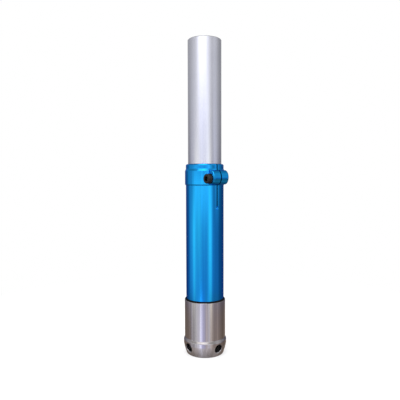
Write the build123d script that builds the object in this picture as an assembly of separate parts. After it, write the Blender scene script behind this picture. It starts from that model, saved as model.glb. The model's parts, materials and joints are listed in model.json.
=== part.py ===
"""Shock-absorbing and torsion shank for a modular lower-limb prosthesis.

A steel receiver cup carries a keyed guide shaft. A torsion core slides down the shaft against a
coil spring, and a clamp housing turns on the core against a bonded rubber sleeve. A pylon tube
stands in the housing's split clamp.

Frame, in millimetres: the origin is the centre of the receiver's bottom rim, +Z runs up the
shank, +Y is the front of the leg and +X its right-hand side. The clamp's slit faces -Y.
Everything is drawn fully extended, with the clamp tight and the receiver's set screws backed off.
"""

import math
import os

from build123d import *

# --- driving dimensions -------------------------------------------------------------------
PYLON_OD = 30.0  # the standard adult pylon
PYLON_ID = 26.0
PYLON_TOP_Z = 281.5
PYLON_BOTTOM_Z = 115.0

HOUSING_OD = 34.0
HOUSING_TOP_Z = 171.5
HOUSING_BOTTOM_Z = 33.5
CHAMBER_R = 14.3  # bore below the web, around the spring and the torsion unit

RECEIVER_OD = 38.6
CUP_OD = 36.8
CUP_BORE_R = 17.1
CUP_TOP_Z = 49.2
CUP_FLOOR_Z = 23.5

SHOCK_TRAVEL = 8.0
RUNNING = 0.05  # radial clearance wherever one piece turns or slides in another

# --- receiver -----------------------------------------------------------------------------
RIM_IN_R = 15.2
RIM_OUT_R = 15.95
RIM_ROUND = (16.6, 0, 0.33)  # points on the foot's outline: the rounded rim, then the taper
TAPER_FOOT = (17.0, 0, 1.1)
TAPER_MIDDLE = (18.4, 0, 5.5)
SOCKET_R = 11.75
SOCKET_CEILING_Z = 17.0
SEAT_SPHERE_R = 22.0  # the concave seat that sits on a foot adapter's dome
BULGE_Z0, BULGE_Z1 = 9.6, 12.9
STEP_HEIGHT = 2.3  # the easy slope from the bulge up to the cup
WIPER_SEAT_Z = 46.0
WIPER_SEAT_R = 17.5
WIPER_LIP = 1.25  # how far the rubber stands above the cup
COUNTERSINK_R = 8.4  # for the shaft bolt's head, in the socket's ceiling
SHAFT_BOLT_HOLE_R = 4.3

SCREW_TILT = 15.0  # degrees the set screws rise on their way in
SCREW_AXIS_Z = 12.8  # where the four set-screw axes cross the shank's axis
SCREW_HOLE_R = 4.0
SCREW_R = SCREW_HOLE_R - RUNNING
SCREW_TIP = 8.5  # distance from the crossing point to the screw's tip
SCREW_LENGTH = 8.0
SCREW_HOLE_MIDDLE = 15.0  # middle of each hole's cutter, from the crossing point
MOUTH_MIDDLE = 20.3  # the same for the flare at its mouth
MOUTH_FLARE = 2.4
HEX_KEY = 4.0  # across flats, in the set screws and the clamp bolt

# --- shaft and stack, from the cup's floor upwards ----------------------------------------
SHAFT_R = 7.0
SHAFT_FLANGE_R = 14.0
SHAFT_FLANGE_TOP = 27.0
STUD_R = 5.0
STUD_TOP = 121.0
SHAFT_BOLT_R = 4.0
SHAFT_BOLT_TOP = 39.3
DOWEL_Y = 10.5
DOWEL_HOLE_R = 1.5
DOWEL_HOLE_Z0, DOWEL_HOLE_Z1 = 19.5, 26.3
SPRING_Z0, SPRING_Z1 = 29.0, 72.5
SPRING_WIRE_R = 2.3
SPRING_MEAN_R = 10.6
SPRING_PITCH = 6.1
SEAT_THICK = 2.0
SEAT_R = 13.2
CORE_Z0, CORE_Z1 = SPRING_Z1 + SEAT_THICK, 97.0
CORE_FLANGE_TOP = 77.3
CORE_FLANGE_R = 13.0
CORE_HUB_R = 11.0
KEY_WIDTH = 4.0
KEY_IN_R, KEY_OUT_R = 4.5, 8.5
KEY_Z0, KEY_Z1 = 77.5, 88.5
RUBBER_Z0, RUBBER_Z1 = 79.5, 95.5
SLEEVE_IN_R = 12.95
WEB_Z0, WEB_Z1 = 98.5, 106.5
BUSH_OUT_R = 8.75
BUSH_FLANGE_R = 11.0
BUSH_FLANGE_TOP = 107.5
WASHER_Z0, WASHER_Z1 = 109.5, 111.5

# --- clamp --------------------------------------------------------------------------------
BAND_R = 17.8
BAND_Z0, BAND_Z1 = 152.7, 166.6
SLIT_WIDTH = 1.1
SLIT_END_Z = 132.8
RELIEF_R = 1.5
EAR_Y = -18.2  # the ears' crown and the bolt share this line
EAR_Z = 159.7
EAR_DEPTH = 4.55  # crown, from that line outwards
EAR_HALF_HEIGHT = 6.3
EAR_NEAR_X = -8.4
EAR_FAR_X = 9.1
COLLAR_X = -9.4  # end of the round collar the bolt's head is sunk in
COLLAR_END_R = 5.0
COLLAR_ROOT_R = 5.4
BOLT_Z = 158.5
SEAT_X = -7.8  # bottom of the counterbore, under the washer
COUNTERBORE_R = 4.45
BOLT_R = 2.5
BOLT_HEAD_R = 4.25
BOLT_HEAD_H = 5.0
BOLT_LENGTH = 16.0
CLAMP_WASHER_T = 0.8
MOUTH_DEPTH = 1.1  # tapered mouth of the pylon's bore
MOUTH_R = 15.55

# --- grooves for the lower guide ring and the circlip -------------------------------------
GROOVE_Z0, GROOVE_Z1 = 35.0, 41.0
GROOVE_R = 15.75
CIRCLIP_Z0, CIRCLIP_Z1 = 77.6, 78.8
CIRCLIP_DEPTH = 0.9  # of its groove in the chamber's wall
CIRCLIP_LUG_X, CIRCLIP_LUG_Y = 4.2, 13.0


def rod(radius, z0, z1):
    """A solid cylinder on the shank's axis."""
    return Pos(0, 0, (z0 + z1) / 2) * Cylinder(radius, z1 - z0)


def ring(inner, outer, z0, z1):
    """A plain ring on the shank's axis."""
    return rod(outer, z0, z1) - rod(inner, z0 - 1, z1 + 1)


def turned(points):
    """A solid of revolution about the shank's axis from (radius, z) corners."""
    outline = Polyline([(r, 0, z) for r, z in points], close=True)
    return revolve(make_face(outline), Axis.Z, 360)


def hexagon(across_flats, z0, z1):
    """A hexagonal prism on the shank's axis."""
    sketch = RegularPolygon(across_flats / math.sqrt(3), 6)
    return Pos(0, 0, z0) * extrude(sketch, z1 - z0)


def washer(inner, outer, z0, z1, edge=0.25):
    """A ring with both outer edges broken."""
    return turned([
        (inner, z0), (outer - edge, z0), (outer, z0 + edge),
        (outer, z1 - edge), (outer - edge, z1), (inner, z1),
    ])


def screw_frame(turn):
    """Places a set screw drawn along +Z from the crossing point, at an angle round the shank."""
    return Pos(0, 0, SCREW_AXIS_Z) * Rot(0, 0, turn) * Rot(0, 90 + SCREW_TILT, 0)


def bolt_frame():
    """Places the clamp bolt drawn along +Z, so that +Z points out of its head, along -X."""
    return Pos(0, EAR_Y, BOLT_Z) * Rot(0, -90, 0)


# --- receiver body ------------------------------------------------------------------------
def receiver_cup():
    """The steel cup, its domed seat below and the pyramid socket with four tapped holes."""
    centre_z = -math.sqrt(SEAT_SPHERE_R**2 - RIM_IN_R**2)
    seat_top_z = centre_z + math.sqrt(SEAT_SPHERE_R**2 - SOCKET_R**2)
    middle_r = (RIM_IN_R + SOCKET_R) / 2
    seat_middle = (middle_r, 0, centre_z + math.sqrt(SEAT_SPHERE_R**2 - middle_r**2))
    bulge_r, cup_r = RECEIVER_OD / 2, CUP_OD / 2
    outline = [
        ThreePointArc((SOCKET_R, 0, seat_top_z), seat_middle, (RIM_IN_R, 0, 0)),
        Line((RIM_IN_R, 0, 0), (RIM_OUT_R, 0, 0)),
        ThreePointArc((RIM_OUT_R, 0, 0), RIM_ROUND, TAPER_FOOT),
        ThreePointArc(TAPER_FOOT, TAPER_MIDDLE, (bulge_r, 0, BULGE_Z0)),
        Polyline(
            (bulge_r, 0, BULGE_Z0), (bulge_r, 0, BULGE_Z1), (bulge_r - 0.12, 0, BULGE_Z1 + 0.5),
            (cup_r + 0.1, 0, BULGE_Z1 + STEP_HEIGHT - 0.4), (cup_r, 0, BULGE_Z1 + STEP_HEIGHT),
            (cup_r, 0, CUP_TOP_Z - 0.15), (cup_r - 0.15, 0, CUP_TOP_Z),
            (WIPER_SEAT_R, 0, CUP_TOP_Z), (WIPER_SEAT_R, 0, WIPER_SEAT_Z),
            (CUP_BORE_R, 0, WIPER_SEAT_Z), (CUP_BORE_R, 0, CUP_FLOOR_Z), (0, 0, CUP_FLOOR_Z),
            (0, 0, SOCKET_CEILING_Z), (SOCKET_R, 0, SOCKET_CEILING_Z), (SOCKET_R, 0, seat_top_z),
        ),
    ]
    cup = revolve(make_face(outline), Axis.Z, 360)
    countersink = turned([
        (0, SOCKET_CEILING_Z - 1), (COUNTERSINK_R, SOCKET_CEILING_Z - 1),
        (COUNTERSINK_R, SOCKET_CEILING_Z + 0.2),
        (SHAFT_BOLT_HOLE_R, SOCKET_CEILING_Z + 0.2 + COUNTERSINK_R - SHAFT_BOLT_HOLE_R),
        (SHAFT_BOLT_HOLE_R, CUP_FLOOR_Z + 1), (0, CUP_FLOOR_Z + 1),
    ])
    dowel_hole = Pos(0, DOWEL_Y, 0) * rod(DOWEL_HOLE_R, DOWEL_HOLE_Z0, CUP_FLOOR_Z + 1)
    cup = cup - countersink - dowel_hole
    tapped = Pos(0, 0, SCREW_HOLE_MIDDLE) * Cylinder(SCREW_HOLE_R, SCREW_HOLE_MIDDLE)
    mouth = Pos(0, 0, MOUTH_MIDDLE) * Cone(SCREW_HOLE_R, SCREW_HOLE_R + MOUTH_FLARE, MOUTH_FLARE)
    for turn in (0, 90, 180, 270):
        cup = cup - screw_frame(turn) * tapped - screw_frame(turn) * mouth
    return cup


def set_screw(turn):
    """A socket set screw, in its backed-off place."""
    z0, z1 = SCREW_TIP, SCREW_TIP + SCREW_LENGTH
    body = turned([
        (0, z0), (SCREW_R - 0.9, z0), (SCREW_R, z0 + 0.9),
        (SCREW_R, z1 - 0.5), (SCREW_R - 0.5, z1), (0, z1),
    ])
    return screw_frame(turn) * (body - hexagon(HEX_KEY, z1 - 3.6, z1 + 1))


def guide_shaft():
    """The hardened shaft: flange on the cup's floor, keyway, shoulder and threaded top."""
    shaft = turned([
        (0, CUP_FLOOR_Z), (SHAFT_FLANGE_R, CUP_FLOOR_Z), (SHAFT_FLANGE_R, SHAFT_FLANGE_TOP - 0.5),
        (SHAFT_FLANGE_R - 0.5, SHAFT_FLANGE_TOP), (SHAFT_R, SHAFT_FLANGE_TOP),
        (SHAFT_R, WASHER_Z0), (STUD_R, WASHER_Z0), (STUD_R, STUD_TOP - 0.8),
        (STUD_R - 0.8, STUD_TOP), (0, STUD_TOP),
    ])
    keyway = Pos(0, KEY_IN_R + 2, (KEY_Z0 + KEY_Z1) / 2) * Box(KEY_WIDTH, 4.0, KEY_Z1 - KEY_Z0)
    dowel_hole = Pos(0, DOWEL_Y, 0) * rod(DOWEL_HOLE_R, CUP_FLOOR_Z - 1, DOWEL_HOLE_Z1)
    bolt_hole = rod(SHAFT_BOLT_R + RUNNING, CUP_FLOOR_Z - 1, SHAFT_BOLT_TOP + 1.7)
    return shaft - keyway - bolt_hole - dowel_hole


def shaft_key():
    """The parallel key that stops the torsion core turning on the shaft."""
    depth = KEY_OUT_R - KEY_IN_R
    key = Box(KEY_WIDTH - 0.02, depth, KEY_Z1 - KEY_Z0 - 0.02)
    return Pos(0, KEY_IN_R + depth / 2, (KEY_Z0 + KEY_Z1) / 2) * key


def shaft_bolt():
    """The countersunk bolt that holds the shaft down, reached through the pyramid socket."""
    z0, head_r = SOCKET_CEILING_Z + 0.3, COUNTERSINK_R - 0.4
    body = turned([
        (0, z0), (head_r, z0), (head_r, z0 + 0.3), (SHAFT_BOLT_R, z0 + 0.3 + head_r - SHAFT_BOLT_R),
        (SHAFT_BOLT_R, SHAFT_BOLT_TOP - 0.8), (SHAFT_BOLT_R - 0.8, SHAFT_BOLT_TOP), (0, SHAFT_BOLT_TOP),
    ])
    return body - hexagon(5.0, z0 - 1, z0 + 3.2)


def locating_dowel():
    """The dowel that stops the shaft turning in the cup."""
    radius, z0, z1 = DOWEL_HOLE_R - 0.02, DOWEL_HOLE_Z0 + 0.1, DOWEL_HOLE_Z1 - 0.1
    return Pos(0, DOWEL_Y, 0) * turned([
        (0, z0), (radius - 0.3, z0), (radius, z0 + 0.3),
        (radius, z1 - 0.3), (radius - 0.3, z1), (0, z1),
    ])


def bump_ring():
    """The soft ring the housing meets at full compression."""
    top = HOUSING_BOTTOM_Z - SHOCK_TRAVEL - 0.1
    return washer(SHAFT_FLANGE_R + 0.3, CUP_BORE_R - 0.1, CUP_FLOOR_Z, top, 0.4)


def wiper_seal():
    """The rubber wiper: its root sits in the cup's counterbore and its lip stands above the rim."""
    root_in, lip_in = HOUSING_OD / 2 + 0.15, HOUSING_OD / 2 + RUNNING
    outer, top = CUP_OD / 2 - 0.3, CUP_TOP_Z + WIPER_LIP
    return turned([
        (root_in, WIPER_SEAT_Z), (WIPER_SEAT_R, WIPER_SEAT_Z), (WIPER_SEAT_R, CUP_TOP_Z),
        (outer, CUP_TOP_Z), (outer + 0.05, CUP_TOP_Z + 0.25), (outer - 0.65, top - 0.15),
        (outer - 0.85, top), (lip_in, top), (lip_in, CUP_TOP_Z + 0.6), (root_in, CUP_TOP_Z),
    ])


def compression_spring():
    """A coil spring of even pitch, ground flat at both ends."""
    path = Helix(SPRING_PITCH, SPRING_Z1 - SPRING_Z0, SPRING_MEAN_R)
    section = Plane(origin=path @ 0, z_dir=path % 0) * Circle(SPRING_WIRE_R)
    coil = sweep(section, path, is_frenet=True)
    outer = SPRING_MEAN_R + 2 * SPRING_WIRE_R
    return (Pos(0, 0, SPRING_Z0) * coil) & rod(outer, SPRING_Z0, SPRING_Z1)


def rebound_bumper():
    """The soft ring under the rebound washer, taking up the return stroke."""
    return washer(SHAFT_R + 0.2, 10.5, BUSH_FLANGE_TOP, WASHER_Z0, 0.4)


def lock_nut():
    """A self-locking nut on the shaft's threaded top."""
    z1 = WASHER_Z1 + 7.0
    body = hexagon(17.0, WASHER_Z1, z1) & turned([
        (0, WASHER_Z1), (8.6, WASHER_Z1), (9.9, WASHER_Z1 + 0.8), (9.9, z1 - 0.8), (8.6, z1), (0, z1),
    ])
    collar = turned([(0, z1), (7.8, z1), (7.8, z1 + 1.4), (7.2, z1 + 2.0), (0, z1 + 2.0)])
    return body + collar - rod(STUD_R + 0.02, WASHER_Z1 - 1, z1 + 3)


# --- torsion core body --------------------------------------------------------------------
def torsion_core():
    """The bronze hub that slides on the keyed shaft and carries the torsion sleeve."""
    core = turned([
        (SHAFT_R + RUNNING, CORE_Z0), (CORE_FLANGE_R, CORE_Z0), (CORE_FLANGE_R, CORE_FLANGE_TOP),
        (CORE_HUB_R, CORE_FLANGE_TOP), (CORE_HUB_R, CORE_Z1 - 0.4), (CORE_HUB_R - 0.4, CORE_Z1),
        (SHAFT_R + RUNNING, CORE_Z1),
    ])
    slot_depth = KEY_OUT_R + 0.15
    slot = Pos(0, slot_depth / 2, (CORE_Z0 + CORE_Z1) / 2)
    return core - slot * Box(KEY_WIDTH + 0.1, slot_depth, CORE_Z1 - CORE_Z0 + 2)


# --- housing body -------------------------------------------------------------------------
def clamp_ears():
    """Both ears as one crowned block across the slit's line, with a collar for the bolt's head."""
    length = EAR_FAR_X - EAR_NEAR_X
    crown = Ellipse(EAR_DEPTH, EAR_HALF_HEIGHT)
    root = Pos(EAR_DEPTH, 0) * Rectangle(2 * EAR_DEPTH, 2 * EAR_HALF_HEIGHT)
    profile = Plane(origin=(EAR_NEAR_X, EAR_Y, EAR_Z), x_dir=(0, 1, 0), z_dir=(1, 0, 0))
    block = extrude(profile * (crown + root), length)
    block = chamfer(block.faces().sort_by(Axis.X)[0].edges(), 0.4)
    block = fillet(block.faces().sort_by(Axis.X)[-1].edges(), 1.3)
    collar_length = EAR_NEAR_X - COLLAR_X + 1
    collar = Pos(0, 0, -COLLAR_X - collar_length / 2) * Cone(COLLAR_ROOT_R, COLLAR_END_R, collar_length)
    return block + bolt_frame() * collar


def clamp_housing():
    """The blue housing: tube, band, slit ears with the clamp bolt's bore, web and chambers."""
    tube_r = HOUSING_OD / 2
    body = turned([
        (0, HOUSING_BOTTOM_Z), (tube_r - 0.5, HOUSING_BOTTOM_Z), (tube_r, HOUSING_BOTTOM_Z + 0.5),
        (tube_r, BAND_Z0), (BAND_R - 0.6, BAND_Z0), (BAND_R, BAND_Z0 + 0.7),
        (BAND_R, BAND_Z1 - 1.3), (BAND_R - 0.12, BAND_Z1 - 0.9),
        (tube_r + 0.1, BAND_Z1 + 0.4), (tube_r, BAND_Z1 + 0.7),
        (tube_r, HOUSING_TOP_Z - 1.1), (tube_r - 0.3, HOUSING_TOP_Z - 0.4),
        (tube_r - 0.9, HOUSING_TOP_Z), (0, HOUSING_TOP_Z),
    ])
    bore_r = PYLON_OD / 2 + RUNNING
    body = body + clamp_ears()
    body = body - rod(bore_r, WEB_Z1, HOUSING_TOP_Z + 1)
    body = body - turned([
        (bore_r - 1, HOUSING_TOP_Z - MOUTH_DEPTH), (bore_r, HOUSING_TOP_Z - MOUTH_DEPTH),
        (MOUTH_R, HOUSING_TOP_Z), (MOUTH_R, HOUSING_TOP_Z + 1), (bore_r - 1, HOUSING_TOP_Z + 1),
    ])
    body = body - rod(CHAMBER_R, HOUSING_BOTTOM_Z - 1, WEB_Z0) - rod(BUSH_OUT_R, WEB_Z0 - 1, WEB_Z1 + 1)
    body = body - ring(GROOVE_R, BAND_R, GROOVE_Z0, GROOVE_Z1)
    body = body - ring(
        CHAMBER_R - 1, CHAMBER_R + CIRCLIP_DEPTH, CIRCLIP_Z0 - RUNNING, CIRCLIP_Z1 + RUNNING
    )
    slit_height = HOUSING_TOP_Z + 1 - SLIT_END_Z
    body = body - Pos(0, -20, SLIT_END_Z + slit_height / 2) * Box(SLIT_WIDTH, 16, slit_height)
    body = body - Pos(0, -tube_r, SLIT_END_Z) * Rot(90, 0, 0) * Cylinder(RELIEF_R, 6)
    frame = bolt_frame()
    counterbore = Pos(0, 0, -SEAT_X + 6) * Cylinder(COUNTERBORE_R, 12)
    clearance = Pos(0, 0, 5) * Cylinder(BOLT_R + 0.15, 10)
    thread = Pos(0, 0, -5) * Cylinder(BOLT_R + RUNNING, 10)
    for cutter in (counterbore, clearance, thread):
        body = body - frame * cutter
    return body


def guide_ring():
    """The split wear ring in the housing's groove, running in the cup's bore."""
    band = ring(GROOVE_R + 0.02, CUP_BORE_R - RUNNING, GROOVE_Z0 + 0.1, GROOVE_Z1 - 0.1)
    split = Pos(0, GROOVE_R + 0.65, (GROOVE_Z0 + GROOVE_Z1) / 2) * Rot(0, 30, 0) * Box(1.0, 4, 12)
    return band - split


def retaining_ring():
    """The internal circlip that keeps the torsion sleeve in the housing."""
    middle, thick = (CIRCLIP_Z0 + CIRCLIP_Z1) / 2, CIRCLIP_Z1 - CIRCLIP_Z0
    clip = ring(CHAMBER_R - 1.1, CHAMBER_R + CIRCLIP_DEPTH - RUNNING, CIRCLIP_Z0, CIRCLIP_Z1)
    clip = clip - Pos(0, CIRCLIP_LUG_Y + 0.5, middle) * Box(6.0, 6.0, 3.0)
    lugs, holes = Part(), Part()
    for x in (-CIRCLIP_LUG_X, CIRCLIP_LUG_X):
        lugs = lugs + Pos(x, CIRCLIP_LUG_Y, middle) * Cylinder(1.7, thick)
        holes = holes + Pos(x, CIRCLIP_LUG_Y - 0.1, middle) * Cylinder(0.8, 3.0)
    return clip + (lugs & rod(CHAMBER_R, CIRCLIP_Z0 - 1, CIRCLIP_Z1 + 1)) - holes


def upper_guide_bush():
    """The flanged plain bush in the housing's web."""
    return turned([
        (SHAFT_R + RUNNING, WEB_Z0 + 0.1), (BUSH_OUT_R, WEB_Z0 + 0.1), (BUSH_OUT_R, WEB_Z1),
        (BUSH_FLANGE_R, WEB_Z1), (BUSH_FLANGE_R, BUSH_FLANGE_TOP), (SHAFT_R + RUNNING, BUSH_FLANGE_TOP),
    ])


# --- clamp bolt, its washer and the pylon -------------------------------------------------
def clamp_washer():
    """The plain washer under the clamp bolt's head."""
    z0 = -SEAT_X
    return bolt_frame() * washer(BOLT_R + 0.1, COUNTERBORE_R - 0.15, z0, z0 + CLAMP_WASHER_T, 0.15)


def clamp_bolt():
    """The socket-head cap screw across the slit."""
    z0 = -SEAT_X + CLAMP_WASHER_T
    z1 = z0 + BOLT_HEAD_H
    tail = z0 - BOLT_LENGTH
    body = turned([
        (0, tail), (BOLT_R - 0.5, tail), (BOLT_R, tail + 0.5), (BOLT_R, z0), (BOLT_HEAD_R, z0),
        (BOLT_HEAD_R, z1 - 0.5), (BOLT_HEAD_R - 0.5, z1), (0, z1),
    ])
    return bolt_frame() * (body - hexagon(HEX_KEY, z1 - 2.6, z1 + 1))


def pylon_tube():
    """The aluminium pylon, with a shallow groove in the housing's mouth marking its insertion depth."""
    outer, inner = PYLON_OD / 2, PYLON_ID / 2
    line_z0, line_z1, line_depth = HOUSING_TOP_Z - 1.0, HOUSING_TOP_Z + 0.1, 0.3
    return turned([
        (inner, PYLON_BOTTOM_Z + 0.4), (inner + 0.4, PYLON_BOTTOM_Z), (outer - 0.6, PYLON_BOTTOM_Z),
        (outer, PYLON_BOTTOM_Z + 0.6), (outer, line_z0), (outer - line_depth, line_z0),
        (outer - line_depth, line_z1), (outer, line_z1), (outer, PYLON_TOP_Z - 0.5),
        (outer - 0.5, PYLON_TOP_Z), (inner + 0.4, PYLON_TOP_Z), (inner, PYLON_TOP_Z - 0.4),
    ])


PARTS = {
    "receiver_cup": receiver_cup(),
    "guide_shaft": guide_shaft(),
    "shaft_key": shaft_key(),
    "shaft_bolt": shaft_bolt(),
    "locating_dowel": locating_dowel(),
    "bump_ring": bump_ring(),
    "wiper_seal": wiper_seal(),
    "lower_spring_seat": washer(SHAFT_R + 0.2, SEAT_R, SHAFT_FLANGE_TOP, SPRING_Z0),
    "compression_spring": compression_spring(),
    "rebound_bumper": rebound_bumper(),
    "rebound_washer": washer(STUD_R + 0.1, 11.5, WASHER_Z0, WASHER_Z1),
    "lock_nut": lock_nut(),
    "set_screw_right": set_screw(0),
    "set_screw_front": set_screw(90),
    "set_screw_left": set_screw(180),
    "set_screw_rear": set_screw(270),
    "upper_spring_seat": washer(SHAFT_R + 0.2, SEAT_R, SPRING_Z1, CORE_Z0),
    "torsion_core": torsion_core(),
    "torsion_rubber": ring(CORE_HUB_R, SLEEVE_IN_R - 0.02, RUBBER_Z0, RUBBER_Z1),
    "torsion_sleeve": ring(SLEEVE_IN_R, CHAMBER_R, RUBBER_Z0 - 0.5, RUBBER_Z1 + 0.5),
    "thrust_washer": ring(KEY_OUT_R + 0.4, 13.5, CORE_Z1, WEB_Z0 - 0.05),
    "clamp_housing": clamp_housing(),
    "guide_ring": guide_ring(),
    "retaining_ring": retaining_ring(),
    "upper_guide_bush": upper_guide_bush(),
    "clamp_washer": clamp_washer(),
    "clamp_bolt": clamp_bolt(),
    "pylon_tube": pylon_tube(),
}

os.makedirs("parts", exist_ok=True)
for node, solid in PARTS.items():
    export_step(solid, f"parts/{node}.step")
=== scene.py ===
"""Looks of the shock-absorbing shank: materials, the pieces with fine detail, camera and studio."""

import json
import math

import bmesh
import bpy
from mathutils import Matrix, Quaternion, Vector


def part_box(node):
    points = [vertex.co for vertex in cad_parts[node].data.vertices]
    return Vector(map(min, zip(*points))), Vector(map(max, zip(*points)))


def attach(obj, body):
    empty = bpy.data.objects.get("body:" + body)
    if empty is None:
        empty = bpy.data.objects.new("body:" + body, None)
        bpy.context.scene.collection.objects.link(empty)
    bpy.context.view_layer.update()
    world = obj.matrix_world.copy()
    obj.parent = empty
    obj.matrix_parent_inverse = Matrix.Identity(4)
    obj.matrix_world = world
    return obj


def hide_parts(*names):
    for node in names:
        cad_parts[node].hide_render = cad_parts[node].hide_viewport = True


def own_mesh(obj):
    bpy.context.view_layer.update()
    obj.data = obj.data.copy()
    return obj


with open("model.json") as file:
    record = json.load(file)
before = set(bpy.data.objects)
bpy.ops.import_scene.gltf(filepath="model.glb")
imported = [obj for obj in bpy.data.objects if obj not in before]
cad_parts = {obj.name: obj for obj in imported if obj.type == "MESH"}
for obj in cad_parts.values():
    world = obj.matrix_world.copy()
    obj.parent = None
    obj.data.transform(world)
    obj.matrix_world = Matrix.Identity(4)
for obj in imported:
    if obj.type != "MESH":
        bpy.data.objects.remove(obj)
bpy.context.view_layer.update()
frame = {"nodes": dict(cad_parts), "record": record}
JOINTS = {joint["name"]: joint for joint in frame["record"]["behaviour"]["joints"]}
MM = 0.001


# --- sizes of surface detail --------------------------------------------------------------------
TOOL_MARK = 0.004 * MM  # depth of a lathe's rings
GRAIN_DEPTH = 0.02 * MM
METAL_EDGE = 0.12 * MM  # rounding of a machined edge
SOFT_EDGE = 0.2 * MM
ANODISED_EDGE = 0.3 * MM
METAL_GRAIN = 900.0  # per metre, as are the other grains
MOULDED_GRAIN = 1500.0
STREAK_SHADE = 0.85  # how dark a streak is against the metal round it
STEP_SPAN = (13.3 * MM, 14.9 * MM)  # the sloped step between the receiver's bulge and cup, where the stainless gets painted shade
SPAN_FADE = 0.3 * MM
SLIT_HALF_WIDTH = 0.58 * MM  # the sawn slit, which gets painted shade, with a hair over on each side
SLIT_END_Z = 133.2 * MM  # just above the middle of the slit's relief hole


# --- node helpers -------------------------------------------------------------------------------
MIX_INPUTS, MIX_OUTPUT = (6, 7), 2  # a mix node's colour sockets, among those for other types


class Nodes:
    """A small wrapper for building a tree of shader nodes."""

    def __init__(self, tree):
        self.tree = tree

    def add(self, kind, **settings):
        node = self.tree.nodes.new(kind)
        for key, value in settings.items():
            setattr(node, key, value)
        return node

    def link(self, source, target):
        self.tree.links.new(source, target)

    def math(self, operation, *values):
        """One arithmetic step on numbers or value sockets."""
        node = self.add("ShaderNodeMath", operation=operation)
        for value, target in zip(values, node.inputs):
            if isinstance(value, (int, float)):
                target.default_value = value
            else:
                self.link(value, target)
        return node.outputs["Value"]

    def ramp(self, source, low, high, start=0.3, end=0.7):
        """Maps start..end to low..high and holds the ends; noise mostly lies in 0.3 to 0.7."""
        node = self.add("ShaderNodeMapRange")
        node.inputs["From Min"].default_value = start
        node.inputs["From Max"].default_value = end
        node.inputs["To Min"].default_value = low
        node.inputs["To Max"].default_value = high
        self.link(source, node.inputs["Value"])
        return node.outputs["Result"]

    def blend(self, factor, first, second):
        """Mixes two colours or colour sockets by a factor."""
        node = self.add("ShaderNodeMix", data_type="RGBA")
        self.link(factor, node.inputs["Factor"])
        for value, index in zip((first, second), MIX_INPUTS):
            if isinstance(value, tuple):
                node.inputs[index].default_value = (*value, 1)
            else:
                self.link(value, node.inputs[index])
        return node.outputs[MIX_OUTPUT]

    def mix_shaders(self, factor, first, second):
        """Mixes two shaders by a factor."""
        mix = self.add("ShaderNodeMixShader")
        self.link(factor, mix.inputs["Fac"])
        self.link(first, mix.inputs[1])
        self.link(second, mix.inputs[2])
        return mix.outputs["Shader"]


class MaterialNodes(Nodes):
    """A new material's tree, round its Principled BSDF."""

    def __init__(self, name):
        self.material = bpy.data.materials.new(name)
        self.material.use_nodes = True
        super().__init__(self.material.node_tree)
        self.bsdf = self.tree.nodes["Principled BSDF"]
        self.coordinates = self.add("ShaderNodeTexCoord").outputs["Object"]

    def set(self, **values):
        for key, value in values.items():
            self.bsdf.inputs[key.replace("_", " ")].default_value = value

    def noise(self, scale, detail=3.0, stretch=(1, 1, 1), roughness=0.5):
        """Noise in the row frame; stretch times scale is its fineness along each axis, in 1/m."""
        mapping = self.add("ShaderNodeMapping")
        mapping.inputs["Scale"].default_value = stretch
        self.link(self.coordinates, mapping.inputs["Vector"])
        texture = self.add("ShaderNodeTexNoise")
        texture.inputs["Scale"].default_value = scale
        texture.inputs["Detail"].default_value = detail
        texture.inputs["Roughness"].default_value = roughness
        self.link(mapping.outputs["Vector"], texture.inputs["Vector"])
        return texture.outputs["Fac"]

    def place(self):
        """The X, Y and Z of the shaded point, in the row frame."""
        node = self.add("ShaderNodeSeparateXYZ")
        self.link(self.coordinates, node.inputs[0])
        return node.outputs

    def span(self, low, high):
        """One between two heights, fading to zero just outside them."""
        z = self.place()["Z"]
        from_below = self.ramp(z, 0, 1, low - SPAN_FADE, low)
        from_above = self.ramp(z, 1, 0, high, high + SPAN_FADE)
        return self.math("MULTIPLY", from_below, from_above)

    def rounded_edges(self, radius):
        """Normals that round every sharp edge."""
        node = self.add("ShaderNodeBevel", samples=6)
        node.inputs["Radius"].default_value = radius
        return node.outputs["Normal"]

    def bump(self, height, strength, distance, normal):
        """Raises the surface by a height map, on top of other normals."""
        node = self.add("ShaderNodeBump")
        node.inputs["Strength"].default_value = strength
        node.inputs["Distance"].default_value = distance
        self.link(height, node.inputs["Height"])
        self.link(normal, node.inputs["Normal"])
        self.link(node.outputs["Normal"], self.bsdf.inputs["Normal"])

    def brushed(self, anisotropy):
        """Metal drawn along the shank's axis, which spreads its mirror image up and down."""
        tangent = self.add("ShaderNodeTangent", direction_type="RADIAL", axis="Z")
        self.link(tangent.outputs["Tangent"], self.bsdf.inputs["Tangent"])
        self.set(Metallic=1.0, Anisotropic=anisotropy, Anisotropic_Rotation=0.25)


def turned_metal(name, colour, tint, rough, step_painted_shade=None):
    """Metal turned on a lathe, then drawn along its length: fine rings crossed by faint streaks.

    The receiver's sloped step can be given painted shade: a darker colour over its span.
    """
    n = MaterialNodes(name)
    rings = n.noise(1.0, 4.0, (20, 20, 2600), 0.6)
    streaks = n.noise(1.0, 2.0, (620, 620, 6), 0.7)
    shade = tuple(STREAK_SHADE * c for c in colour)
    surface = n.blend(n.ramp(streaks, 0, 1, 0.35, 0.65), shade, tint)
    # Painted shade: the sloped step gets a darker colour, so that it mirrors less light.
    if step_painted_shade:
        surface = n.blend(n.span(*STEP_SPAN), surface, step_painted_shade)
    n.link(surface, n.bsdf.inputs["Base Color"])
    n.link(n.ramp(rings, rough * 0.9, rough * 1.1), n.bsdf.inputs["Roughness"])
    n.brushed(0.6)
    n.bump(rings, 0.07, TOOL_MARK, n.rounded_edges(METAL_EDGE))
    return n.material


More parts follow.
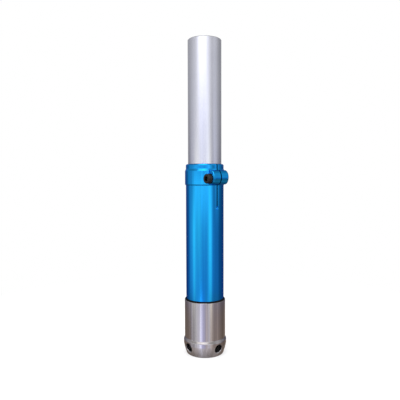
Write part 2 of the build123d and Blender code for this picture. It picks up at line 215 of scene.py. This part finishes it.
def plain_metal(name, colour, tint, rough):
    """Plated or ground metal with a fine even grain."""
    n = MaterialNodes(name)
    fine = n.noise(METAL_GRAIN, 4.0)
    cloud = n.noise(120.0, 3.0)
    n.link(n.blend(n.ramp(cloud, 0, 1), colour, tint), n.bsdf.inputs["Base Color"])
    n.link(n.ramp(fine, rough * 0.8, rough * 1.3), n.bsdf.inputs["Roughness"])
    n.set(Metallic=1.0)
    n.bump(fine, 0.15, GRAIN_DEPTH, n.rounded_edges(METAL_EDGE))
    return n.material


def black_oxide(name, sheen):
    """Black oxide on a high-tensile screw: dark, with a dull sheen where it is oiled; a low sheen
    here is painted shade.
    """
    n = MaterialNodes(name)
    fine = n.noise(METAL_GRAIN, 4.0)
    black = n.blend(n.ramp(fine, 0, 1), (0.004, 0.0025, 0.002), (0.007, 0.005, 0.004))
    n.link(black, n.bsdf.inputs["Base Color"])
    n.link(n.ramp(fine, 0.22, 0.34), n.bsdf.inputs["Roughness"])
    n.bsdf.inputs["Specular IOR Level"].default_value = sheen
    n.bump(fine, 0.15, GRAIN_DEPTH, n.rounded_edges(METAL_EDGE))
    return n.material


def blue_anodised():
    """Bright-dipped, turned and dyed aluminium under a clear oxide layer, with painted shade in the
    sawn slit, which is also rough and uncoated.
    """
    n = MaterialNodes("blue_anodised")
    rings = n.noise(1.0, 4.0, (15, 15, 2200), 0.6)
    cloud = n.noise(45.0, 3.0)
    streaks = n.noise(1.0, 2.0, (600, 600, 5), 0.7)
    x, y, z = n.place()
    between = n.math("LESS_THAN", n.math("ABSOLUTE", x), SLIT_HALF_WIDTH)
    on_its_side = n.math("LESS_THAN", y, 0.0)
    above_end = n.math("GREATER_THAN", z, SLIT_END_Z)
    painted_slit_shade = n.math("MULTIPLY", n.math("MULTIPLY", between, on_its_side), above_end)
    dyed = n.blend(n.ramp(cloud, 0, 1), (0.0075, 0.39, 0.90), (0.0095, 0.41, 0.93))
    dyed = n.blend(n.ramp(streaks, 0, 1, 0.35, 0.65), (0.0065, 0.35, 0.86), dyed)
    # Painted shade: the slit's faces are coloured near-black dark blue, rough and without the coat.
    n.link(n.blend(painted_slit_shade, dyed, (0.003, 0.02, 0.08)), n.bsdf.inputs["Base Color"])
    n.link(n.blend(painted_slit_shade, n.ramp(rings, 0.09, 0.12), (0.7, 0.7, 0.7)), n.bsdf.inputs["Roughness"])
    n.link(n.ramp(painted_slit_shade, 0.22, 0.0, 0.0, 1.0), n.bsdf.inputs["Coat Weight"])
    n.set(Specular_Tint=(0.02, 0.40, 0.95, 1), Coat_Roughness=0.08, Coat_IOR=1.5)
    n.brushed(0.5)
    edges = n.rounded_edges(ANODISED_EDGE)
    n.bump(rings, 0.08, TOOL_MARK, edges)
    n.link(edges, n.bsdf.inputs["Coat Normal"])
    return n.material


def silver_anodised():
    """Extruded tube: fine lines along its length under a satin clear anodise."""
    n = MaterialNodes("silver_anodised")
    lines = n.noise(1.0, 4.0, (1500, 1500, 12), 0.6)
    cloud = n.noise(50.0, 3.0)
    silver = n.blend(n.ramp(cloud, 0, 1), (0.78, 0.79, 0.86), (0.82, 0.83, 0.89))
    n.link(silver, n.bsdf.inputs["Base Color"])
    n.link(n.ramp(lines, 0.22, 0.28), n.bsdf.inputs["Roughness"])
    n.set(Metallic=1.0)
    n.bump(lines, 0.10, 1.5 * TOOL_MARK, n.rounded_edges(SOFT_EDGE))
    return n.material


def moulded(name, colour, tint, rough, subsurface=0.0, gloss=0.5):
    """Rubber or polymer with a fine moulded grain."""
    n = MaterialNodes(name)
    fine = n.noise(MOULDED_GRAIN, 5.0, roughness=0.65)
    cloud = n.noise(90.0, 3.0)
    n.link(n.blend(n.ramp(cloud, 0, 1), colour, tint), n.bsdf.inputs["Base Color"])
    n.link(n.ramp(fine, rough * 0.85, rough * 1.15), n.bsdf.inputs["Roughness"])
    n.set(Subsurface_Weight=subsurface, Subsurface_Scale=1.0 * MM)
    n.bsdf.inputs["Specular IOR Level"].default_value = gloss
    n.bump(fine, 0.25, 1.5 * GRAIN_DEPTH, n.rounded_edges(SOFT_EDGE))
    return n.material


MATERIALS = {
    # The stainless gets painted shade on the receiver's sloped step.
    "stainless": turned_metal(
        "stainless", (0.61, 0.59, 0.60), (0.64, 0.62, 0.63), 0.15, step_painted_shade=(0.46, 0.43, 0.42)
    ),
    "hardened_steel": turned_metal("hardened_steel", (0.52, 0.53, 0.55), (0.58, 0.58, 0.60), 0.14),
    "zinc_steel": plain_metal("zinc_steel", (0.62, 0.65, 0.70), (0.70, 0.71, 0.72), 0.28),
    "spring_steel": plain_metal("spring_steel", (0.16, 0.17, 0.19), (0.22, 0.22, 0.23), 0.38),
    "black_oxide": black_oxide("black_oxide", 0.45),
    "bronze": turned_metal("bronze", (0.55, 0.36, 0.16), (0.62, 0.42, 0.20), 0.25),
    "blue_anodised": blue_anodised(),
    "silver_anodised": silver_anodised(),
    "black_rubber": moulded(
        "black_rubber", (0.003, 0.003, 0.003), (0.006, 0.005, 0.005), 0.65, gloss=0.08
    ),
    "bumper_polymer": moulded(
        "bumper_polymer", (0.55, 0.30, 0.05), (0.62, 0.36, 0.08), 0.42, subsurface=0.3
    ),
    "bearing_polymer": moulded("bearing_polymer", (0.74, 0.72, 0.63), (0.80, 0.78, 0.70), 0.45),
}


def paint_cad_nodes():
    """Gives every CAD node the procedural material its record names."""
    for part in frame["record"]["subparts"]:
        mesh = frame["nodes"][part["node"]].data
        mesh.materials.clear()
        mesh.materials.append(MATERIALS[part["material_slot"]])


# --- pieces with detail too fine for the CAD ----------------------------------------------------
SEGMENTS = 96
CREASE = math.radians(40)
THREAD_FLAT = 1 / 6  # share of a half pitch that is flat, at the crest and again at the root
THREAD_RUN_OUT = 0.1 * MM
HEX_KEY = 4.0 * MM
KEY_MOUTH, KEY_CHAMFER = 4.3 * MM, 0.2 * MM  # across the flats at a hex socket's mouth, and depth
DRILL_TIP_R, DRILL_TIP_H = 0.3 * MM, 0.8 * MM  # the point that a drill leaves

BOLT_HEAD_H = 5.0 * MM
BOLT_HEAD_ROUND = 0.7 * MM
BOLT_HEAD_FOOT = 0.15 * MM  # chamfer under the head
BOLT_KEY_DEPTH = 2.9 * MM
BOLT_R = 2.5 * MM
BOLT_PITCH, BOLT_THREAD_DEPTH = 0.8 * MM, 0.42 * MM
BOLT_PLAIN_LENGTH = 3.5 * MM  # smooth part under the head
BOLT_TAIL = 0.5 * MM  # chamfer at the tail
KNURL_TEETH, KNURL_DEPTH = 48, 0.16 * MM
ROUND_STEPS = 4

SCREW_R = 3.95 * MM
SCREW_ROOT_R = 3.25 * MM
SCREW_HALF_LENGTH = 4.0 * MM
SCREW_PITCH, SCREW_THREAD_DEPTH = 1.25 * MM, 0.65 * MM
SCREW_KEY_DEPTH = 4.0 * MM
SCREW_TIP_R, SCREW_TIP_H = 2.4 * MM, 0.7 * MM
SCREW_CUP_R, SCREW_CUP_DEPTH = 1.9 * MM, 0.9 * MM
SCREW_END_R, SCREW_END_H = 2.85 * MM, 0.6 * MM  # the chamfered end that takes the key

WIRE_R = 2.28 * MM
SPRING_SIDE_PLAY = 0.02 * MM
SPRING_PITCH = 6.1 * MM
END_TURNS = 0.9  # closed turns at each end
END_PITCH = 2.02 * WIRE_R
END_GRIND = 0.3 * WIRE_R  # how far inside the ground face the wire's middle starts
SPRING_STEPS, WIRE_SIDES = 440, 16


def hexagon(across_flats):
    """Radius of a hexagon by angle, for a socket."""
    def at(angle):
        corner = (angle + math.pi / 6) % (math.pi / 3) - math.pi / 6
        return across_flats / 2 / math.cos(corner)
    return at


def knurl(radius, teeth, depth):
    """Radius of a straight-knurled head by angle."""
    def at(angle):
        share = angle * teeth / (2 * math.pi) % 1.0
        return radius - depth * abs(2 * share - 1)
    return at


def thread(radius, pitch, depth, z):
    """Radius of a right-hand screw thread by angle, at one height."""
    def at(angle):
        share = (z / pitch - angle / (2 * math.pi)) % 1.0
        cut = (1 - THREAD_FLAT - abs(2 * share - 1)) / (1 - 2 * THREAD_FLAT)
        return radius - depth * min(1.0, max(0.0, cut))
    return at


def threaded(radius, pitch, depth, z0, z1):
    """The rings of a threaded length from z0 up to z1, eight to a turn."""
    steps = max(2, round((z1 - z0) / pitch * 8))
    heights = [z0 + (z1 - z0) * i / steps for i in range(steps + 1)]
    return [(z, thread(radius, pitch, depth, z)) for z in heights]


def rounded_end(radius, rounding, z):
    """The rings of a quarter circle that rounds the edge of an end at z."""
    angles = [math.pi / 2 * i / ROUND_STEPS for i in range(1, ROUND_STEPS + 1)]
    return [
        (z - rounding * (1 - math.sin(t)), radius - rounding * (1 - math.cos(t))) for t in angles
    ]


def hex_socket(z, depth):
    """The rings of a socket sunk into an end at z: chamfered mouth, hexagon, drilled tip."""
    return [
        (z, hexagon(KEY_MOUTH)),
        (z - KEY_CHAMFER, hexagon(HEX_KEY)),
        (z - depth, hexagon(HEX_KEY)),
        (z - depth - DRILL_TIP_H, DRILL_TIP_R),
    ]


def skin(bm, loops):
    """Joins neighbouring loops of vertices with quads and closes both ends."""
    count = len(loops[0])
    for lower, upper in zip(loops, loops[1:]):
        for i in range(count):
            j = (i + 1) % count
            bm.faces.new((lower[i], lower[j], upper[j], upper[i]))
    bm.faces.new(reversed(loops[0]))
    bm.faces.new(loops[-1])


def lathe(rings):
    """A closed surface about Z through rings of (height, radius or radius by angle)."""
    bm = bmesh.new()
    angles = [2 * math.pi * i / SEGMENTS for i in range(SEGMENTS)]
    loops = []
    for z, radius in rings:
        at = radius if callable(radius) else (lambda angle, r=radius: r)
        loops.append([bm.verts.new((at(t) * math.cos(t), at(t) * math.sin(t), z)) for t in angles])
    skin(bm, loops)
    return bm


def finish_piece(name, bm, node, body, slot, matrix=Matrix.Identity(4), material=None):
    """Puts a mesh in the scene in place of a CAD node, riding on its body, with crisp creases."""
    bmesh.ops.recalc_face_normals(bm, faces=bm.faces)
    bm.transform(matrix)
    for face in bm.faces:
        face.smooth = True
    for edge in bm.edges:
        edge.smooth = edge.calc_face_angle(0) < CREASE
    mesh = bpy.data.meshes.new(name)
    bm.to_mesh(mesh)
    bm.free()
    mesh.materials.append(material or MATERIALS[slot])
    piece = bpy.data.objects.new(name, mesh)
    bpy.context.scene.collection.objects.link(piece)
    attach(piece, body)
    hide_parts(node)
    return piece


def standing(origin, axis):
    """Places a piece drawn along Z with its origin at a point and its Z along an axis."""
    return Matrix.Translation(origin) @ axis.to_track_quat("Z", "Y").to_matrix().to_4x4()


def box(node):
    """A node's lowest and highest corners."""
    low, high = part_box(node)
    return Vector(low), Vector(high)


def build_clamp_bolt():
    """Socket-head cap screw with a knurled head and a threaded shank, drawn from its tail up."""
    low, high = box("clamp_bolt")
    middle = (low + high) / 2
    head_r = (high.z - low.z) / 2
    length = high.x - low.x
    under_head = length - BOLT_HEAD_H
    thread_end = under_head - BOLT_PLAIN_LENGTH
    tooth = knurl(head_r, KNURL_TEETH, KNURL_DEPTH)
    rings = [
        (0, BOLT_R - BOLT_TAIL),
        *threaded(BOLT_R, BOLT_PITCH, BOLT_THREAD_DEPTH, BOLT_TAIL, thread_end),
        (thread_end + THREAD_RUN_OUT, BOLT_R),
        (under_head, BOLT_R),
        (under_head, head_r - BOLT_HEAD_FOOT),
        (under_head + BOLT_HEAD_FOOT, tooth),
        (length - BOLT_HEAD_ROUND, tooth),
        *rounded_end(head_r - KNURL_DEPTH, BOLT_HEAD_ROUND, length),
        *hex_socket(length, BOLT_KEY_DEPTH),
    ]
    place = standing(Vector((high.x, middle.y, middle.z)), Vector((-1, 0, 0)))
    finish_piece("clamp_bolt_detail", lathe(rings), "clamp_bolt", "bolt", "black_oxide", place)


def build_set_screws():
    """Four socket set screws with a cup point, one in each of the receiver's holes."""
    # Painted shade: the set screws, deep in their holes, get a low sheen so that they look dark.
    painted_shade_black = black_oxide("dry_black_oxide", 0.12)
    tip, end = -SCREW_HALF_LENGTH, SCREW_HALF_LENGTH
    shoulder, top = tip + SCREW_TIP_H, end - SCREW_END_H
    thread_span = (shoulder + THREAD_RUN_OUT, top - THREAD_RUN_OUT)
    rings = [
        (tip + SCREW_CUP_DEPTH, DRILL_TIP_R),
        (tip, SCREW_CUP_R),
        (tip, SCREW_TIP_R),
        (shoulder, SCREW_ROOT_R),
        *threaded(SCREW_R, SCREW_PITCH, SCREW_THREAD_DEPTH, *thread_span),
        (top, SCREW_ROOT_R),
        (end, SCREW_END_R),
        *hex_socket(end, SCREW_KEY_DEPTH),
    ]
    for side in ("right", "front", "left", "rear"):
        node = "set_screw_" + side
        low, high = box(node)
        middle = (low + high) / 2
        outward = Vector(JOINTS[node + "_travel"]["axis"]).normalized()
        if outward.dot(Vector((middle.x, middle.y, 0))) < 0:
            outward = -outward
        place = standing(middle, outward)
        body = "screw_" + side
        finish_piece(node + "_detail", lathe(rings), node, body, "black_oxide", place, painted_shade_black)


def build_spring():
    """The shock spring: close end coils ground flat."""
    low, high = box("compression_spring")
    mean_r = (high.x - low.x) / 2 - WIRE_R - SPRING_SIDE_PLAY
    foot, top = low.z + END_GRIND, high.z - END_GRIND
    active_turns = (top - foot - 2 * END_TURNS * END_PITCH) / SPRING_PITCH
    turns = active_turns + 2 * END_TURNS

    def height(turn):
        rising = min(max(turn - END_TURNS, 0.0), active_turns)
        return foot + SPRING_PITCH * rising + END_PITCH * (turn - rising)

    bm = bmesh.new()
    loops = []
    for i in range(SPRING_STEPS + 1):
        turn = turns * i / SPRING_STEPS
        angle = 2 * math.pi * turn
        loop = []
        for k in range(WIRE_SIDES):
            t = 2 * math.pi * k / WIRE_SIDES
            radius = mean_r + WIRE_R * math.cos(t)
            z = min(max(height(turn) + WIRE_R * math.sin(t), low.z), high.z)
            loop.append(bm.verts.new((radius * math.cos(angle), radius * math.sin(angle), z)))
        loops.append(loop)
    skin(bm, loops)
    coil = finish_piece(
        "compression_spring_coil", bm, "compression_spring", "receiver", "spring_steel"
    )
    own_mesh(coil)


# --- studio -------------------------------------------------------------------------------------
CAMERA_TURN = -39.0  # degrees round the shank from -Y
CAMERA_DISTANCE = 0.4246
CAMERA_HEIGHT = 0.160
CAMERA_PITCH = 2.8  # degrees downwards
CAMERA_SIDE = 0.00432  # how far the view is aimed beside the axis
CAMERA_ROLL = -0.14
CAMERA_LENS, CAMERA_SENSOR = 42.3, 36.0  # in mm, as Blender takes them
CAMERA_CLIP = 0.01

# Soft lamps, which light the object but aren't mirrored in it: degrees round the shank from the
# camera, distance from its axis, height, width and power.
LAMPS = {
    "key": (-60, 0.9, 0.7, 1.2, 7),
    "fill": (60, 0.9, 0.7, 1.2, 6),
    "top": (180, 0.4, 1.1, 0.8, 6),
}
LAMP_AIM = Vector((0, 0, 0.15))

FLOOR_HALF_SIZE = 30.0  # so large that its edge stays out of sight
FLOOR_FADE_END = 0.35  # distance from the object at which the floor has become pure white


def place_camera():
    """A view nearly level with the clamp, turned so that the ears stand out to the right."""
    turn = math.radians(CAMERA_TURN)
    outward = Vector((math.sin(turn), -math.cos(turn), 0))
    across = Vector((math.cos(turn), math.sin(turn), 0))
    data = bpy.data.cameras.new("camera")
    data.sensor_width = CAMERA_SENSOR
    data.lens = CAMERA_LENS
    data.clip_start = CAMERA_CLIP
    camera = bpy.data.objects.new("camera", data)
    camera.location = outward * CAMERA_DISTANCE - across * CAMERA_SIDE + Vector((0, 0, CAMERA_HEIGHT))
    forward = -outward * math.cos(math.radians(CAMERA_PITCH))
    forward.z = -math.sin(math.radians(CAMERA_PITCH))
    roll = Quaternion((0, 0, 1), math.radians(CAMERA_ROLL))
    camera.rotation_euler = (forward.to_track_quat("-Z", "Y") @ roll).to_euler()
    bpy.context.scene.collection.objects.link(camera)
    bpy.context.scene.camera = camera


def place_lamps():
    for name, (turn, distance, height, width, power) in LAMPS.items():
        angle = math.radians(CAMERA_TURN + turn)
        data = bpy.data.lights.new(name, "AREA")
        data.size = width
        data.energy = power
        light = bpy.data.objects.new(name, data)
        light.location = (math.sin(angle) * distance, -math.cos(angle) * distance, height)
        light.rotation_euler = (LAMP_AIM - light.location).to_track_quat("-Z", "Z").to_euler()
        light.visible_glossy = False
        bpy.context.scene.collection.objects.link(light)


# What polished metal mirrors: soft boxes, the dark gaps between them, and the table below. A band
# is the studio at one height of the mirrored ray: that height, its tints where dim and where
# bright, then brightness by angle round the shank from the camera. A colour in place of a
# brightness is used as it stands.
STUDIO = (
    # Mirrored by faces that look down, then by the receiver's tapered foot.
    (-0.98, (1.10, 1.0, 0.95), (1.0, 1.0, 1.1), (
        (-180, 0.08), (-90, 0.12), (-25, 0.20), (20, 0.16), (70, 0.12),
    )),
    (-0.65, (1.25, 1.0, 0.80), (0.97, 1.0, 1.20), (
        (-180, 0.22), (-150, 0.20), (-115, 0.22), (-90, 0.30), (-70, 0.44), (-50, 0.54),
        (-36, 0.74), (-24, 0.85), (-12, 0.66), (8, 0.62), (32, 0.53), (50, 0.38), (72, 0.45),
        (95, 0.32), (125, 0.18),
    )),
    # Mirrored by the receiver's cup.
    (-0.27, (1.40, 1.0, 0.70), (0.97, 1.0, 1.20), (
        (-180, 0.30), (-150, 0.14), (-115, 0.16), (-95, 0.18), (-78, (0.38, 0.36, 0.41)),
        (-64, (0.39, 0.38, 0.43)), (-50, (0.67, 0.67, 0.71)), (-38, (0.82, 0.80, 0.94)), (-31, 0.95),
        (-26, (1.66, 1.70, 2.15)), (-20, (1.12, 1.14, 1.62)), (-14, (0.72, 0.72, 1.10)),
        (-3, (0.54, 0.53, 0.77)), (8, 0.56), (20, (0.75, 0.73, 0.83)), (34, 0.52), (44, 0.30),
        (58, 0.22), (72, 0.28), (90, 0.18), (120, 0.12), (150, 0.20),
    )),
    # Mirrored by the blue tube, at its foot and under the clamp, then by the clamp.
    (-0.245, (1.0, 1.0, 1.7), (1.0, 1.0, 0.90), (
        (-180, 0.16), (-140, 0.10), (-118, 0.20), (-98, 0.42), (-82, 0.55), (-74, 0.88),
        (-66, 1.00), (-54, 0.70), (-40, 0.56), (-26, 0.52), (-12, 0.42), (14, 0.44),
        (22, 0.78), (30, 1.08), (38, 1.02), (45, 0.52), (54, 0.36), (68, 0.28), (84, 0.28),
        (100, 0.16), (130, 0.12), (150, 0.12),
    )),
    (-0.11, (1.0, 1.0, 1.6), (1.0, 1.0, 0.84), (
        (-180, 0.20), (-140, 0.12), (-118, 0.22), (-98, 0.56), (-82, 0.80), (-74, 1.30),
        (-66, 1.40), (-54, 0.98), (-40, 0.98), (-26, 0.88), (-12, 0.66), (12, 0.66),
        (20, 1.00), (30, 1.50), (38, 1.40), (45, 0.72), (54, 0.40), (68, 0.30), (84, 0.28),
        (100, 0.15), (130, 0.12), (150, 0.12),
    )),
    (-0.01, (1.0, 1.0, 1.3), (1.0, 1.0, 0.94), (
        (-180, 0.22), (-126, 0.20), (-101, 0.50), (-85, 0.54), (-72, 0.88), (-56, 1.40),
        (-42, 1.36), (-29, 1.24), (-17, 1.62), (-6, 1.32), (6, 1.46), (18, 1.42), (30, 1.46),
        (38, 1.26), (46, 0.66), (57, 0.32), (71, 0.62), (87, 0.54), (105, 0.20), (130, 0.12),
    )),
    # Mirrored by the silver tube, just above the clamp and at its top.
    (0.04, (1.05, 1.0, 1.0), (0.92, 1.0, 1.26), (
        (-180, 0.30), (-126, 0.28), (-101, 0.45), (-81, 0.50), (-64, 0.53), (-50, 0.54),
        (-20, (0.28, 0.33, 0.62)), (-6, (0.20, 0.24, 0.48)), (6, (0.32, 0.36, 0.56)),
        (22, (0.84, 0.89, 1.08)), (36, 0.44), (50, 0.32), (68, 0.70), (85, 0.57), (103, 0.40),
        (130, 0.23),
    )),
    (0.22, (1.0, 1.0, 1.05), (1.0, 1.0, 1.06), (
        (-180, 0.35), (-121, 0.42), (-97, 0.54), (-79, 0.66), (-60, 0.80), (-46, 1.20),
        (-32, 1.50), (8, 1.50), (24, 1.10), (38, 0.80), (52, 0.60), (68, 0.60), (85, 0.53),
        (105, 0.38), (130, 0.30),
    )),
    # Mirrored by sloped edges.
    (0.42, (1.0, 1.0, 1.0), (1.0, 1.0, 1.05), (
        (-180, 0.30), (-110, 0.40), (-80, 0.50), (-56, 0.60), (-40, 1.50), (-12, 1.80),
        (6, 1.50), (20, 0.75), (50, 0.50), (75, 0.70), (95, 0.50), (120, 0.30),
    )),
    (0.80, (1.0, 1.0, 1.0), (1.0, 1.0, 1.0), (
        (-180, 0.30), (-90, 0.35), (-60, 0.70), (-30, 1.90), (-8, 2.20), (12, 1.80),
        (34, 0.60), (50, 0.60), (75, 0.90), (105, 0.40),
    )),
)


def angle_ramp(n, share, dim, bright, stops):
    """One band of the studio as colours round the shank, from a share of the full turn."""
    ramp = n.add("ShaderNodeValToRGB")
    ramp.color_ramp.interpolation = "EASE"
    elements = ramp.color_ramp.elements
    for i, (degrees, level) in enumerate(stops + ((180, stops[0][1]),)):
        element = elements[i] if i < len(elements) else elements.new(1.0)
        element.position = degrees / 360 + 0.5
        if isinstance(level, tuple):
            element.color = (*level, 1)
        else:
            cool = min(level, 1.0)
            element.color = (*(level * (d + (b - d) * cool) for d, b in zip(dim, bright)), 1)
    n.link(share, ramp.inputs["Fac"])
    return ramp.outputs["Color"]


def build_world():
    """White behind the object; by reflection, the studio's bands blended by the ray's height."""
    world = bpy.data.worlds.new("studio")
    bpy.context.scene.world = world
    world.use_nodes = True
    n = Nodes(world.node_tree)
    direction = n.add("ShaderNodeSeparateXYZ")
    n.link(n.add("ShaderNodeTexCoord").outputs["Generated"], direction.inputs[0])
    x, y, z = direction.outputs
    angle = n.math("ARCTAN2", x, n.math("MULTIPLY", y, -1.0))
    turned = n.math("SUBTRACT", angle, math.radians(CAMERA_TURN))
    wrapped = n.math("WRAP", turned, math.pi, -math.pi)
    share = n.math("ADD", n.math("DIVIDE", wrapped, 2 * math.pi), 0.5)
    below, *lowest = STUDIO[0]
    colour = angle_ramp(n, share, *lowest)
    for height, *band in STUDIO[1:]:
        colour = n.blend(n.ramp(z, 0, 1, below, height), colour, angle_ramp(n, share, *band))
        below = height
    mirrored = n.tree.nodes["Background"]
    n.link(colour, mirrored.inputs["Color"])
    seen = n.add("ShaderNodeBackground")
    seen.inputs["Color"].default_value = (1, 1, 1, 1)
    to_camera = n.add("ShaderNodeLightPath").outputs["Is Camera Ray"]
    shown = n.mix_shaders(to_camera, mirrored.outputs["Background"], seen.outputs["Background"])
    n.link(shown, n.tree.nodes["World Output"].inputs["Surface"])


def build_floor():
    """A pale floor that fades to the white background, clear from below and to mirrored rays."""
    bm = bmesh.new()
    bmesh.ops.create_grid(bm, x_segments=1, y_segments=1, size=FLOOR_HALF_SIZE)
    mesh = bpy.data.meshes.new("floor")
    bm.to_mesh(mesh)
    bm.free()
    floor = bpy.data.objects.new("floor", mesh)
    n = MaterialNodes("floor")
    pale = n.blend(n.ramp(n.noise(12.0, 3.0), 0, 1), (0.93, 0.93, 0.93), (0.95, 0.95, 0.95))
    n.link(pale, n.bsdf.inputs["Base Color"])
    n.set(Roughness=0.9)
    n.bsdf.inputs["Specular IOR Level"].default_value = 0.0
    distance = n.add("ShaderNodeVectorMath", operation="LENGTH")
    n.link(n.coordinates, distance.inputs[0])
    far = n.ramp(distance.outputs["Value"], 0.5, 1, 0.0, FLOOR_FADE_END)
    white = n.add("ShaderNodeEmission").outputs["Emission"]
    faded = n.mix_shaders(far, n.bsdf.outputs["BSDF"], white)
    mirrored = n.add("ShaderNodeLightPath").outputs["Is Glossy Ray"]
    from_below = n.add("ShaderNodeNewGeometry").outputs["Backfacing"]
    clear = n.add("ShaderNodeBsdfTransparent").outputs["BSDF"]
    shown = n.mix_shaders(n.math("MAXIMUM", mirrored, from_below), faded, clear)
    n.link(shown, n.tree.nodes["Material Output"].inputs["Surface"])
    mesh.materials.append(n.material)
    bpy.context.scene.collection.objects.link(floor)


bpy.context.scene.view_settings.view_transform = "Standard"
paint_cad_nodes()
build_clamp_bolt()
build_set_screws()
build_spring()
place_camera()
place_lamps()
build_world()
build_floor()
